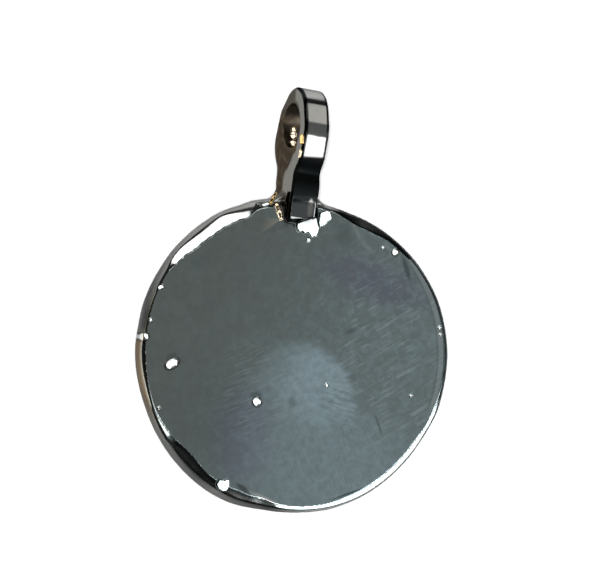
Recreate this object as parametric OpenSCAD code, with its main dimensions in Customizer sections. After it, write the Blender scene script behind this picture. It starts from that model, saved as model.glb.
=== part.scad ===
// Soccer ball pendant, one solid piece of cast and soldered metal: a disc with a flat polished
// back, a low relief of a ball on its front, and a fixed bail with a round eye.
// Millimetres. The pendant lies on its front. Z = 0 is the worn flat in the middle of the ball,
// the back faces +Z, and the bail points along +Y.

/* [Disc] */
// Diameter of the disc at its rim
disc_d = 16.5; // [15:0.1:20]
// Height of the rim's wall
rim_h = 1.2; // [1:0.1:1.6]
// Bevel along both edges of the rim
rim_bevel = 0.15; // [0.05:0.05:0.3]

/* [Ball] */
// Height of the domed front, from the worn flat to the rim
dome_h = 2.4; // [2:0.1:3.4]
// Plain border between the ball and the rim's edge
border_w = 0.65; // [0.5:0.05:1]
// Width of the seams between the panels
seam_w = 0.3; // [0.2:0.05:0.4]
// Depth of the seams
seam_depth = 0.18; // [0.1:0.02:0.24]
// Diameter of the worn flat that the pendant rests on
flat_d = 4; // [3:0.2:4.2]

/* [Bail] */
// Bore of the eye
eye_d = 2.3; // [1.8:0.1:2.4]
// Width of the band, along the eye's axis
band_w = 1.4; // [1:0.05:1.6]
// Height of the bail's top above the rim
bail_h = 5.5; // [5:0.1:6]
// Depth of the neck below the eye, from front to back
neck_depth = 2.3; // [2:0.1:2.5]
// Turn of the bail about the pendant's long axis, as it was soldered
bail_twist = 7; // [0:1:8]
// Reach of the rear foot over the back of the disc
foot_len = 1.25; // [1:0.05:1.6]
// Height of the rear foot above the back, at the rim
foot_h = 0.45; // [0.3:0.05:0.6]

/* [Hidden] */
$fn = 96;

disc_r = disc_d / 2;
back_z = dome_h + rim_h;

// How far shapes that are joined reach into each other
lap = 0.8;

// Flats filed on the rim: the direction each faces, in degrees from +X, and its depth
FLAT_ANGLE = 0;
FLAT_DEPTH = 1;
rim_flats = [[66, 0.2], [204, 0.22], [230, 0.14], [338, 0.1]];

// The dome is part of a sphere that passes through the worn flat's edge and the border's
ball_r = disc_r - border_w;
flat_r = flat_d / 2;
sphere_z = (pow(dome_h, 2) + pow(ball_r, 2) - pow(flat_r, 2)) / (2 * dome_h);
sphere_r = sqrt(pow(sphere_z, 2) + pow(flat_r, 2));

// Panel middles of a ball with a five-sided panel facing the viewer: one in the middle, one ring
// round it, and the ring beyond the ball's outline
RING_Z = 1 / sqrt(5);
RING_R = 2 / sqrt(5);
MIDDLE = [0, 0, 1];
function near_five(k) = [RING_R * cos(90 + 72 * k), RING_R * sin(90 + 72 * k), RING_Z];
function far_five(k) = [RING_R * cos(126 + 72 * k), RING_R * sin(126 + 72 * k), -RING_Z];

// The bail's loop, seen from the side: five lobes that its outline wraps round, each with its
// place along Y and Z from the loop's middle and its radius, and the eye inside them
LOBE_Y = 0;
LOBE_Z = 1;
LOBE_R = 2;
top_lobe = [0.6, 0.35, 1.45];
rear_lobe = [0, 0.35, 1.62];
low_lobe = [-1.15, 0.75, 0.9];
front_lobe = [-0.95, -0.66, 1.5];
brow_lobe = [0.1, -0.45, 1.3];
eye_centre = [0.05, 0.12];
loop_y = disc_r + bail_h - top_lobe[LOBE_Y] - top_lobe[LOBE_R];
neck_y = loop_y - 2.5;
neck_z = back_z - 0.6;
foot_y = disc_r - foot_len;

// Fillets where the bail spreads into the rim, and the mound of solder beside the rear foot
web_r = 0.8;
web_top = 0.6;
web_depth = 0.9;
solder_at = [0.7, disc_r - 1.5];
solder_w = 2.2;
solder_h = 0.2;

// Solder drawn out beside the rear foot, so that the turned foot doesn't lean out over the back
pad_w = 0.08;
pad_h = 0.12;

function unit(v) = v / norm(v);

// Corner of the seams on the ball's face, one third of the way from panel middle p to q
function corner(p, q) = let (c = unit(2 * p + q)) [c.x, c.y] * ball_r;

// The outline with each side moved in by d; its corners run anticlockwise
function inset(outline, d) = [
    for (i = [0 : len(outline) - 1])
        let (
            before = outline[(i + len(outline) - 1) % len(outline)],
            after = outline[(i + 1) % len(outline)],
            along_in = unit(outline[i] - before),
            along_out = unit(after - outline[i]),
            in_a = [-along_in.y, along_in.x],
            in_b = [-along_out.y, along_out.x]
        )
        outline[i] + d * (in_a + in_b) / (1 + in_a * in_b)
];

// Panels, as outlines seen from in front of the ball
middle_five = [for (k = [0 : 4]) corner(MIDDLE, near_five(k))];
function side_five(k) = let (p = near_five(k)) [
    corner(p, MIDDLE), corner(p, near_five(k - 1)), corner(p, far_five(k - 1)),
    corner(p, far_five(k)), corner(p, near_five(k + 1))
];
function inner_six(k) = let (p = near_five(k), q = near_five(k + 1)) [
    corner(MIDDLE, p), corner(p, MIDDLE), corner(p, q),
    corner(q, p), corner(q, MIDDLE), corner(MIDDLE, q)
];
function outer_six(k) = let (p = near_five(k), q = near_five(k + 1), far = far_five(k)) [
    corner(p, q), corner(p, far), 1.1 * corner(p, far),
    1.1 * ball_r * unit([far.x, far.y]), 1.1 * corner(q, far), corner(q, far), corner(q, p)
];

// The ball's front, less a skin of the given depth; it reaches up into the rim
module dome(depth) {
    intersection() {
        translate([0, 0, sphere_z]) sphere(sphere_r - depth);
        cylinder(r = disc_r - rim_bevel, h = dome_h + lap);
    }
}

module panel(outline) {
    linear_extrude(dome_h + lap / 2) polygon(inset(outline, seam_w / 2));
}

module ball_front() {
    dome(seam_depth);
    intersection() {
        dome(0);
        union() {
            panel(middle_five);
            for (k = [0 : 4]) {
                panel(side_five(k));
                panel(inner_six(k));
                panel(outer_six(k));
            }
        }
    }
}

// The rim, a short cylinder with bevelled edges
module rim() {
    rotate_extrude() polygon([
        [0, dome_h], [disc_r - rim_bevel, dome_h], [disc_r, dome_h + rim_bevel],
        [disc_r, back_z - rim_bevel], [disc_r - rim_bevel, back_z], [0, back_z]
    ]);
}

module disc() {
    difference() {
        rim();
        for (flat = rim_flats)
            rotate([0, 0, flat[FLAT_ANGLE]])
                translate([disc_r - flat[FLAT_DEPTH], -disc_r, -1])
                    cube([disc_r, disc_d, back_z + 2]);
    }
}

// Puts a side view, drawn as [Y, Z], upright and gives it the thickness w across X
module across(w) {
    rotate([90, 0, 90]) linear_extrude(w, center = true) children();
}

module lobe(shape) {
    translate([loop_y + shape[LOBE_Y], neck_z + shape[LOBE_Z]]) circle(shape[LOBE_R], $fn = 64);
}

module loop() {
    across(band_w) hull() {
        lobe(top_lobe);
        lobe(rear_lobe);
        lobe(low_lobe);
        lobe(front_lobe);
        lobe(brow_lobe);
    }
}

// The neck under the eye, the rear foot that laps over the back, and the front foot on the rim
module neck() {
    across(band_w) polygon([
        [loop_y - 1.2, neck_z + 1.6], [neck_y, neck_z + neck_depth / 2],
        [disc_r, back_z + foot_h], [foot_y, back_z + 0.12], [foot_y, back_z - 0.4],
        [disc_r - 0.5, dome_h + 0.2], [disc_r - 0.1, dome_h - 0.35],
        [neck_y, neck_z - neck_depth / 2], [loop_y - 1.6, neck_z - 1.75]
    ]);
}

module eye() {
    translate([0, loop_y + eye_centre.x, neck_z + eye_centre.y])
        rotate([0, 90, 0]) cylinder(d = eye_d, h = 4 * band_w, center = true);
}

module bail() {
    translate([0, 0, neck_z]) rotate([0, bail_twist, 0]) translate([0, 0, -neck_z])
        difference() {
            union() {
                loop();
                neck();
            }
            eye();
        }
}

// The spread of metal between the neck and the rim, hollowed on both sides
module web() {
    half = band_w / 2 + web_r;
    translate([0, 0, back_z - rim_bevel - web_depth]) linear_extrude(web_depth) difference() {
        translate([-half, disc_r - 1]) square([2 * half, 1 + web_top]);
        for (side = [-1, 1])
            translate([side * half, disc_r + web_top]) circle(web_r);
    }
}

// A shallow mound: the cap of a sphere that stands solder_h above the back
module solder() {
    mound_r = (pow(solder_w / 2, 2) + pow(solder_h, 2)) / (2 * solder_h);
    intersection() {
        translate([solder_at.x, solder_at.y, back_z + solder_h - mound_r]) sphere(mound_r);
        translate([solder_at.x, solder_at.y, back_z - 0.2]) cylinder(d = solder_w, h = 1);
    }
}

module pad() {
    translate([-band_w / 2, foot_y - pad_w, back_z - 0.4])
        cube([band_w + 2 * pad_w, disc_r - 0.1 - foot_y + pad_w, 0.4 + pad_h]);
}

module pendant() {
    color("dimgray") {
        disc();
        ball_front();
        bail();
        web();
        solder();
        pad();
    }
}

pendant();
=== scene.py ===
"""Looks of a soccer ball pendant: cast, soldered and polished metal, lying face down on a pale floor.

The whole pendant is one piece of metal. Its surface is where pendant_distance() is zero: each
feature has a function that gives the distance from a point to it, in millimetres, and smooth
minima and maxima melt them together as casting, filing and solder do.
"""

from functools import partial, reduce
from math import cos, hypot, pi, radians, sin, sqrt, tan

import bmesh
import bpy
import numpy as np
from mathutils import Matrix, Vector


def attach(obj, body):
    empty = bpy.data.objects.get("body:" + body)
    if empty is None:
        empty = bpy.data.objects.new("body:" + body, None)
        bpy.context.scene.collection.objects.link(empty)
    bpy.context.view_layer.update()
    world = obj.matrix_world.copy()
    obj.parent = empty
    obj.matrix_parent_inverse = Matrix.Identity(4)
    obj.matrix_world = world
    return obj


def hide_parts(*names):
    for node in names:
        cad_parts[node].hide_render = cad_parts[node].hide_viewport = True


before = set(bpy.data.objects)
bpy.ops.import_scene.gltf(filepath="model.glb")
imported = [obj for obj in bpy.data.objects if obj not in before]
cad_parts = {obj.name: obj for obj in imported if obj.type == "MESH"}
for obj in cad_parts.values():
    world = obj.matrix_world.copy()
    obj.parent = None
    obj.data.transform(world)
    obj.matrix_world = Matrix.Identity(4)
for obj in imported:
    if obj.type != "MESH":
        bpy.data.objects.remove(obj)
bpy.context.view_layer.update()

MM = 0.001

# Disc and ball, as in the frame
DISC_R = 8.25
DOME_H = 2.4
RIM_H = 1.2
BACK_Z = DOME_H + RIM_H
BALL_R = 7.6
FLAT_R = 2.0
SPHERE_Z = (DOME_H**2 + BALL_R**2 - FLAT_R**2) / (2 * DOME_H)
SPHERE_R = hypot(SPHERE_Z, FLAT_R)
SEAM_DEPTH = 0.17
SEAM_HALF = 0.13

# Bail: lobes are (y, z, radius) from the loop's middle, seen from the side
BAND_W = 1.4
BAND_EDGE = 0.14
BAND_CHAMFER = 0.13
BAND_SKEW = 0.1
BAIL_TWIST = radians(7)
NECK_FLARE = 0.15
TOP_LOBE = (0.6, 0.35, 1.45)
REAR_LOBE = (0, 0.35, 1.62)
LOW_LOBE = (-1.15, 0.75, 0.9)
FRONT_LOBE = (-0.95, -0.66, 1.5)
BROW_LOBE = (0.1, -0.45, 1.3)
EYE = (0.05, 0.12, 1.15)
LOOP_Y = 11.7
NECK_Z = BACK_Z - 0.6
FOOT_Y = DISC_R - 1.25

# Circles that the neck and each foot are wrapped round, in the same view
NECK = ((LOOP_Y - 1.5, NECK_Z - 0.1, 1.1), (DISC_R + 0.5, NECK_Z, 1.04))
CHEST = ((LOOP_Y - 1.5, NECK_Z - 0.55, 0.92), (DISC_R + 0.5, NECK_Z - 0.45, 0.85))
REAR_FOOT = ((DISC_R + 0.65, BACK_Z - 0.1, 0.57), (FOOT_Y + 0.15, BACK_Z - 0.17, 0.36))
FRONT_FOOT = ((DISC_R + 0.4, DOME_H + 0.1, 0.5), (DISC_R - 0.5, DOME_H + 0.3, 0.35))

# How far the creases between shapes are melted away
GROOVE_MELT = 0.06
WEB_MELT = 0.15
BAIL_MELT = 0.12
BEAD_MELT = 0.03
SOLDER_MELT = 0.02
FACET_MELT = 0.015

# The rim seen from behind, going round from +X: the edge's distance out from DISC_R, the width of
# the worn facet inside the rounding, the facet's tilt in degrees, and the rounding's radius
RIM_ANGLE, RIM_EDGE, RIM_FACET, RIM_TILT, RIM_ROUND = range(5)
RIM_ROWS = [
    (4, 0.14, 0.04, 28, 0.15), (14, 0.11, 0.04, 28, 0.15), (24, 0.09, 0.05, 28, 0.15),
    (33, 0.01, 0.06, 28, 0.15), (40, -0.03, 0.06, 29, 0.14), (43, -0.06, 0.22, 29, 0.12),
    (52, -0.14, 0.24, 29, 0.12), (58, -0.18, 0.38, 29, 0.12), (66, -0.26, 0.46, 29, 0.12),
    (71, -0.31, 0.3, 29, 0.14), (76, -0.33, 0.05, 29, 0.2), (90, -0.26, 0.06, 29, 0.3),
    (108, -0.07, 0.05, 32, 0.4), (111.5, -0.12, 0.4, 22, 0.38), (116, -0.07, 0.49, 22, 0.28),
    (120.5, -0.04, 0.6, 22, 0.15), (125, -0.06, 0.58, 22, 0.22), (130, -0.07, 0.5, 22, 0.29),
    (135, -0.08, 0.5, 22, 0.23), (141, -0.08, 0.5, 22, 0.11), (146, -0.1, 0.38, 22, 0.09),
    (148.5, -0.13, 0.05, 34, 0.2), (165, -0.13, 0.04, 34, 0.24), (173, -0.18, 0.06, 34, 0.22),
    (178, -0.15, 0.14, 32, 0.16), (183, -0.15, 0.2, 32, 0.16), (193, -0.2, 0.1, 32, 0.19),
    (201, -0.23, 0.06, 32, 0.18), (204.5, -0.23, 0.06, 21, 0.18), (212, -0.2, 0.19, 20, 0.22),
    (217.5, -0.18, 0.24, 19, 0.26), (219, -0.16, 0.24, 28, 0.34), (222, -0.15, 0.38, 28, 0.36),
    (229, -0.11, 0.42, 28, 0.4), (236, -0.06, 0.26, 28, 0.42), (243, -0.02, 0.28, 28, 0.4),
    (252, -0.01, 0.38, 28, 0.38), (257, -0.06, 0.3, 28, 0.36), (262, -0.13, 0.3, 26, 0.32),
    (267, -0.12, 0.14, 22, 0.28), (276, -0.09, 0.1, 22, 0.22), (288, 0.01, 0.16, 22, 0.19),
    (303, 0.04, 0.29, 22, 0.13), (318, 0.03, 0.29, 22, 0.12), (331, 0.04, 0.25, 22, 0.12),
    (336, 0.06, 0.13, 22, 0.12), (342, 0.14, 0.2, 22, 0.12), (347, 0.13, 0.13, 22, 0.14),
    (350, 0.12, 0.05, 28, 0.15),
]
# Degrees that the rows are eased over, and the steps of the eased tables
RIM_SOFTNESS = 1.5
RIM_STEP = 0.5
RIM_DEGREES = np.arange(0, 360, RIM_STEP)
RIM_REACH = np.arange(-24, 25)

# The burr's ripples: how high each is, how many go round and its shift. Beside two places, each with
# a reach in degrees, they are full, and elsewhere calm
RIPPLES = [(0.04, 23, 0), (0.03, 41, 1), (0.025, 97, 2)]
RAGGED = [(128, 24), (57, 16)]
CALM = 0.25
BURR_COVER = 0.84

# Painted shade: dark stretches of the worn facets and dark lines along the burr: the degrees round from +X
# where each starts, is full, fades and ends, and its strength
DARK_FACETS = [
    (216, 220, 243, 247, 0.82), (40, 43, 75, 78, 0.85), (176, 179, 188, 200, 0.7),
]
BURR_LINES = [
    (109, 112, 148, 150, 1), (186, 192, 220, 222, 1),
    (281, 284, 295, 300, 0.7), (40, 43, 75, 78, 1),
]

# Painted shade on the rim's wall, going round from +X: how dark the wall is at its foot and at its top,
# and how much painted warm reflection it has
DARK_ANGLE, DARK_FOOT, DARK_TOP, WALL_WARM_REFLECTION = range(4)
DARK_ROWS = [
    (0, 0.7, 0.7, 0), (40, 0.75, 0.8, 0), (46, 0.86, 0.88, 0), (74, 0.84, 0.88, 0),
    (80, 0, 0, 0), (106, 0, 0, 0), (112, 0.12, 0.25, 0), (141, 0.15, 0.4, 0),
    (152, 0.75, 0.5, 0), (160, 0.9, 0.7, 0), (168, 0.4, 0.95, 0), (173, 0.35, 0.9, 0),
    (178, 0.2, 0.3, 1), (194, 0.1, 0.1, 1), (200, 0.35, 0.4, 1), (208, 0.4, 0.45, 0.3),
    (216, 0.5, 0.55, 0), (222, 0.5, 0.75, 0), (229, 0.5, 0.9, 0), (236, 0.5, 0.9, 0),
    (243, 0.5, 0.6, 0), (250, 0.45, 0.8, 0), (257, 0.4, 0.9, 0), (264, 0.5, 0.9, 0),
    (272, 0.5, 0.5, 0), (285, 0.2, 0.15, 0), (315, 0.15, 0.15, 0), (328, 0.35, 0.35, 0),
    (340, 0.7, 0.7, 0),
]
WALL_FOOT = 2.6
WALL_TOP = 3.55

# Casting pits in the back: x, y and radius, and how oval each is
PITS = [
    (-6.36, -0.79, 0.21, 1.6), (-1.74, -2.51, 0.21, 1.0), (5.17, 5.61, 0.16, 1.0),
    (4.51, 5.8, 0.08, 1.0), (-7.18, 3.1, 0.09, 1.5), (-7.6, 1.39, 0.09, 1.0),
    (-7.9, 0.51, 0.18, 1.2), (-6.9, -3.12, 0.08, 1.0), (7.83, 1.83, 0.09, 1.0),
    (7.88, 1.46, 0.07, 1.0), (1.93, -1.45, 0.08, 1.0), (6.5, -1.79, 0.08, 1.0),
]
PIT_TURN = 34
PIT_LEAN = radians(22)
PIT_TOWARDS = radians(118)

# The flare between the neck and the rim: its hollows' radii, its top's height, how far it reaches
# down and to each side, and the narrow core in the neck that it starts from
WEB_LEFT_R = 1.15
WEB_RIGHT_R = 1.0
WEB_TOP_Z = 3.4
WEB_DOWN = 1.15
WEB_REACH_X = 2.4
WEB_REACH_Y = 1.2
CORE_INSET = 0.3
CORE_TOP_Z = 3.2
CORE_ROUND = 0.25

# Beads of solder: x, y, z and radius at points along each. Each has a worn flat, square to BEAD_FLAT
CREAM_BEADS = [
    [(-1.3, 7.66, 3.6, 0.11), (-1.18, 7.38, 3.62, 0.14), (-1.06, 7.02, 3.6, 0.1)],
    [(-0.23, 11.62, 2.05, 0.12), (-0.23, 11.66, 2.05, 0.11)],
    [(-0.25, 11.32, 2.12, 0.17), (-0.23, 11.4, 2.1, 0.16)],
    [(-0.34, 10.78, 2.5, 0.19), (-0.33, 10.9, 2.44, 0.18)],
    [(-0.52, 10.2, 4.52, 0.06), (-0.51, 10.48, 4.62, 0.07)],
]
GOLD_BEADS = [
    [(-0.5, 10.96, 4.72, 0.11), (-0.5, 11.26, 4.76, 0.1)],
    [(-1.6, 7.8, 3.5, 0.09), (-1.5, 7.98, 3.46, 0.11)],
    [(-1.42, 8.12, 3.4, 0.09), (-1.34, 8.26, 3.4, 0.08)],
]
BEAD_FLAT = (-0.719, 0, 0.695)

# Ragged flats of solder, all but the last near the rear foot: each one's outline and lowest point,
# how steep they are, and the way they fall
SOLDER = [
    ([(-0.25, 6.8), (0.35, 7.05), (0.75, 7.15), (0.88, 6.8), (1.0, 6.6), (0.92, 6.22), (0.63, 6.12),
      (0.4, 6.38), (0.22, 6.28), (0.08, 6.42), (-0.1, 6.36), (-0.26, 6.58)], (0.95, 6.2)),
    ([(0.98, 7.42), (1.31, 7.56), (1.5, 7.5), (1.66, 7.14), (1.42, 6.98), (1.34, 6.82), (1.02, 6.66),
      (0.94, 6.92)], (1.5, 6.85)),
    ([(0.36, 6.1), (0.56, 6.08), (0.6, 5.9), (0.4, 5.86)], (0.5, 5.9)),
    ([(-2.2, 7.6), (-2.02, 7.56), (-1.74, 7.66), (-1.68, 7.78), (-1.86, 7.8), (-2.12, 7.7)],
     (-1.8, 7.55)),
    ([(-3.68, -6.84), (-3.55, -6.6), (-3.3, -6.62), (-3.02, -6.56), (-2.96, -6.88), (-3.08, -7.16),
      (-3.3, -7.2), (-3.55, -7.06)], (-3.0, -7.2)),
]
SOLDER_LEAN = 18
SOLDER_TOWARDS = -50

# Mesh: the grid, how near points are merged, and how far off the slope is measured
GRID_LOW = np.array([-8.7, -8.7, -0.25])
GRID_HIGH = np.array([8.7, 14.0, 5.4])
STEP = 0.05
MERGE = 0.0004
SLOPE_REACH = 0.004
SHADING_REACH = 0.012
SETTLE_ROUNDS = 2
KEEP_TRIANGLES = 196000


def add(name, data):
    """Puts a new object in the scene."""
    made = bpy.data.objects.new(name, data)
    bpy.context.scene.collection.objects.link(made)
    return made


def smooth_max(a, b, k):
    """The larger of a and b, with the crease between them rounded over k."""
    h = np.clip(0.5 + 0.5 * (a - b) / k, 0, 1)
    return b + (a - b) * h + k * h * (1 - h)


def smooth_min(a, b, k):
    return -smooth_max(-a, -b, k)


def round_max(a, b, radius):
    """Where a and b are both inside, with an edge of that radius."""
    outside = np.hypot(np.maximum(a + radius, 0), np.maximum(b + radius, 0))
    return np.minimum(np.maximum(a, b), -radius) + outside


def unit(v):
    return v / np.linalg.norm(v)


def rim_table(column):
    """A value for each of RIM_DEGREES, eased between the rows."""
    angles = [row[RIM_ANGLE] for row in RIM_ROWS]
    values = np.interp(RIM_DEGREES, angles, [row[column] for row in RIM_ROWS], period=360)
    weights = np.exp(-0.5 * (RIM_REACH * RIM_STEP / RIM_SOFTNESS) ** 2)
    return sum(w * np.roll(values, s) for w, s in zip(weights, RIM_REACH)) / weights.sum()


RIM_TABLES = {c: rim_table(c) for c in (RIM_EDGE, RIM_FACET, RIM_TILT, RIM_ROUND)}


def round_the_rim(column, angle):
    return np.interp(np.degrees(angle) % 360, RIM_DEGREES, RIM_TABLES[column], period=360)


def rim_profile(angle):
    """At an angle round the rim: the edge's radius, its rounding, and the radius where the facet starts."""
    edge = DISC_R + round_the_rim(RIM_EDGE, angle)
    rounding = round_the_rim(RIM_ROUND, angle)
    return edge, rounding, edge - rounding - round_the_rim(RIM_FACET, angle)


def burr_r(angle):
    """Where the back ends, in a burr over the facet's inner side."""
    ripple = sum(height * np.sin(count * angle + shift) for height, count, shift in RIPPLES)
    degrees = np.degrees(angle) % 360
    ragged = np.any([np.abs(degrees - middle) < reach for middle, reach in RAGGED], axis=0)
    edge, rounding, _ = rim_profile(angle)
    facet_w = round_the_rim(RIM_FACET, angle)
    return edge - rounding + facet_w * (ripple * (CALM + (1 - CALM) * ragged) - BURR_COVER)


def rim_distance(x, y, z):
    """The plate: flat back, worn facets, uneven edge."""
    r = np.hypot(x, y)
    angle = np.arctan2(y, x)
    edge, rounding, facet_r = rim_profile(angle)
    tilt = np.radians(round_the_rim(RIM_TILT, angle))
    back = z - BACK_Z
    facet = (r - facet_r) * np.sin(tilt) + back * np.cos(tilt)
    shape = smooth_max(back, smooth_min(r - burr_r(angle), facet, FACET_MELT), FACET_MELT)
    shape = round_max(shape, r - edge, rounding)
    return round_max(shape, DOME_H - z, 0.12)


def corner(p, q):
    """Seam corner on a ball of radius 1, a third of the way from panel middle p to q, from in front."""
    return unit(2 * np.array(p) + np.array(q))[:2]


def seam_corners():
    """The corners in one tenth of the ball's face; turning and mirroring it gives the rest."""
    ring_r, ring_z = 2 / sqrt(5), 1 / sqrt(5)

    def middle(degrees, z):
        turn = radians(degrees)
        return (ring_r * cos(turn), ring_r * sin(turn), z)

    top = (0, 0, 1)
    near, beside, far = middle(0, ring_z), middle(72, ring_z), middle(36, -ring_z)
    pairs = [(top, near), (near, top), (near, beside), (near, far), (top, beside), (beside, near)]
    return [corner(p, q) for p, q in pairs]


FIVE_TIP, SIDE_TIP, SIDE_SHOULDER, SIDE_FOOT, NEXT_TIP, NEXT_SHOULDER = seam_corners()
SEAM_LINES = [
    (FIVE_TIP, NEXT_TIP),
    (FIVE_TIP, SIDE_TIP),
    (SIDE_TIP, SIDE_SHOULDER),
    (SIDE_SHOULDER, NEXT_SHOULDER),
    (SIDE_SHOULDER, SIDE_FOOT),
    (SIDE_FOOT, SIDE_FOOT * (1, -1)),
    (SIDE_FOOT, SIDE_FOOT * 1.1),
]


def fold(x, y):
    """Brings a point on the ball's face into the tenth that the seams are drawn in."""
    r = np.hypot(x, y) / BALL_R
    turn = np.degrees(np.arctan2(y, x)) - 90
    turn = np.radians(np.abs((turn + 36) % 72 - 36))
    return r * np.cos(turn), r * np.sin(turn)


def line_distance(u, v, start, end):
    along = end - start
    share = np.clip(((u - start[0]) * along[0] + (v - start[1]) * along[1]) / (along @ along), 0, 1)
    return np.hypot(u - start[0] - share * along[0], v - start[1] - share * along[1])


def seam_distance(x, y):
    u, v = fold(x, y)
    return np.min([line_distance(u, v, a, b) for a, b in SEAM_LINES], axis=0) * BALL_R


def five_distance(x, y):
    """Distance to the nearest five-sided panel, below zero inside it."""
    u, v = fold(x, y)
    half = radians(36)
    middle = u * cos(half) + v * sin(half) - FIVE_TIP[0] * cos(half)
    side = -np.inf
    outline = [SIDE_TIP, SIDE_SHOULDER, SIDE_FOOT, SIDE_FOOT * (1, -1)]
    for a, b in zip(outline, outline[1:]):
        along = unit(b - a)
        side = np.maximum(side, (u - a[0]) * along[1] - (v - a[1]) * along[0])
    return np.minimum(middle, side) * BALL_R


def ball_distance(x, y, z):
    """The domed front with its seams, worn flat in the middle."""
    dome = np.sqrt(x**2 + y**2 + (z - SPHERE_Z) ** 2) - SPHERE_R
    seam = seam_distance(x, y)
    dome = dome + SEAM_DEPTH * np.exp(-((seam / SEAM_HALF) ** 2)) + 0.05 * np.exp(-seam / 0.35)
    dome = smooth_max(dome, 0.005 - z, 0.02)
    return np.maximum(dome, z - DOME_H - 0.05)


def border_groove(x, y, z):
    return np.hypot(np.hypot(x, y) - BALL_R, z - DOME_H) - 0.13


def tapered(y, z, start, end):
    """Distance in the side view to the shape wrapped round two circles, each (y, z, radius)."""
    run = np.array([end[0] - start[0], end[1] - start[1]])
    length = np.linalg.norm(run)
    run = run / length
    h = (y - start[0]) * run[0] + (z - start[1]) * run[1]
    w = np.abs((y - start[0]) * run[1] - (z - start[1]) * run[0])
    slope = (start[2] - end[2]) / length
    rise = sqrt(1 - slope**2)
    k = h * rise - w * slope
    near = np.hypot(w, h) - start[2]
    far = np.hypot(w, h - length) - end[2]
    side = w * rise + h * slope - start[2]
    return np.where(k < 0, near, np.where(k > rise * length, far, side))


def ease(value, low, high):
    share = np.clip((value - low) / (high - low), 0, 1)
    return share * share * (3 - 2 * share)


def in_bail(x, y, z):
    """The point in the bail's own frame, before it was turned and skewed."""
    up = z - NECK_Z
    c, s = cos(BAIL_TWIST), sin(BAIL_TWIST)
    across = x * c - up * s
    return across, y + BAND_SKEW * across, x * s + up * c + NECK_Z


def placed(lobe):
    return (LOOP_Y + lobe[0], NECK_Z + lobe[1], lobe[2])


def bail_outline(y, z):
    """The bail seen from the side, with the eye filled in: a loop pinched at the neck, and two feet."""
    lobes = [placed(lobe) for lobe in (TOP_LOBE, REAR_LOBE, LOW_LOBE, FRONT_LOBE, BROW_LOBE)]
    side = np.min([tapered(y, z, a, b) for a, b in zip(lobes, lobes[1:] + lobes[:1])], axis=0)
    side = smooth_min(side, tapered(y, z, *NECK), 0.6)
    side = smooth_min(side, tapered(y, z, *CHEST), 0.4)
    feet = np.minimum(tapered(y, z, *REAR_FOOT), tapered(y, z, *FRONT_FOOT))
    return smooth_min(side, feet, 0.25)


def band_left(along):
    """How far the band reaches to the left: a little further at the neck and foot."""
    return BAND_W / 2 + NECK_FLARE * ease(along, 9.9, 8.7)


def bail_distance(x, y, z):
    """The bail: its outline across the band's width, the eye, a chamfer on the left and a rounded right."""
    x, y, z = in_bail(x, y, z)
    outside = bail_outline(y, z)
    eye_y, eye_z, eye_r = placed(EYE)
    side = smooth_max(outside, eye_r - np.hypot(y - eye_y, z - eye_z), 0.05)
    left = -x - band_left(y)
    chamfer = (outside + left + BAND_CHAMFER) * sqrt(0.5)
    shape = round_max(side, x - BAND_W / 2, BAND_EDGE)
    return np.maximum(shape, smooth_max(chamfer, left, 0.02))


def round_union(a, b, radius):
    """Where either a or b is inside, with a round fillet of that radius between them."""
    hollow = np.hypot(np.maximum(radius - a, 0), np.maximum(radius - b, 0))
    return np.maximum(np.minimum(a, b), radius) - hollow


def web_distance(x, y, z):
    """Where the neck flares out into the rim."""
    across, _, up = in_bail(x, y, z)
    aside = np.maximum(np.abs(across) - BAND_W / 2 + CORE_INSET, 0)
    core = np.hypot(aside, np.maximum(up - CORE_TOP_Z, 0)) - CORE_ROUND
    core = np.maximum(core, NECK_Z - WEB_DOWN - up)
    rim_edge, _, _ = rim_profile(np.arctan2(y, x))
    rim = np.maximum(np.hypot(x, y) - rim_edge + 0.05, DOME_H - z)
    flare = round_union(core, rim, np.where(x < 0, WEB_LEFT_R, WEB_RIGHT_R))
    flare = np.maximum(flare, np.maximum(np.abs(x) - WEB_REACH_X, np.abs(y - DISC_R) - WEB_REACH_Y))
    return round_max(flare, np.maximum(z - WEB_TOP_Z, NECK_Z - WEB_DOWN - z), 0.12)


def bead_distance(x, y, z, beads):
    """Beads of solder, each a row of round drops with a flat worn along it."""
    shape = np.full(x.shape, np.inf)
    for bead in beads:
        for (ax, ay, az, ar), (bx, by, bz, br) in zip(bead, bead[1:]):
            run = np.array([bx - ax, by - ay, bz - az])
            share = ((x - ax) * run[0] + (y - ay) * run[1] + (z - az) * run[2]) / (run @ run)
            share = np.clip(share, 0, 1)
            dx, dy, dz = x - ax - share * run[0], y - ay - share * run[1], z - az - share * run[2]
            radius = ar + share * (br - ar)
            drop = np.sqrt(dx**2 + dy**2 + dz**2) - radius
            flat = dx * BEAD_FLAT[0] + dy * BEAD_FLAT[1] + dz * BEAD_FLAT[2] - 0.45 * radius
            shape = np.minimum(shape, np.maximum(drop, flat))
    return shape


def outline_distance(x, y, outline):
    """Distance to a closed outline, below zero inside it."""
    nearest = np.full(x.shape, np.inf)
    inside = np.zeros(x.shape, bool)
    for (ax, ay), (bx, by) in zip(outline, outline[1:] + outline[:1]):
        nearest = np.minimum(nearest, line_distance(x, y, np.array([ax, ay]), np.array([bx, by])))
        if ay != by:
            crossing = ((ay > y) != (by > y)) & (x < (bx - ax) * (y - ay) / (by - ay) + ax)
            inside ^= crossing
    return np.where(inside, -nearest, nearest)


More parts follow.
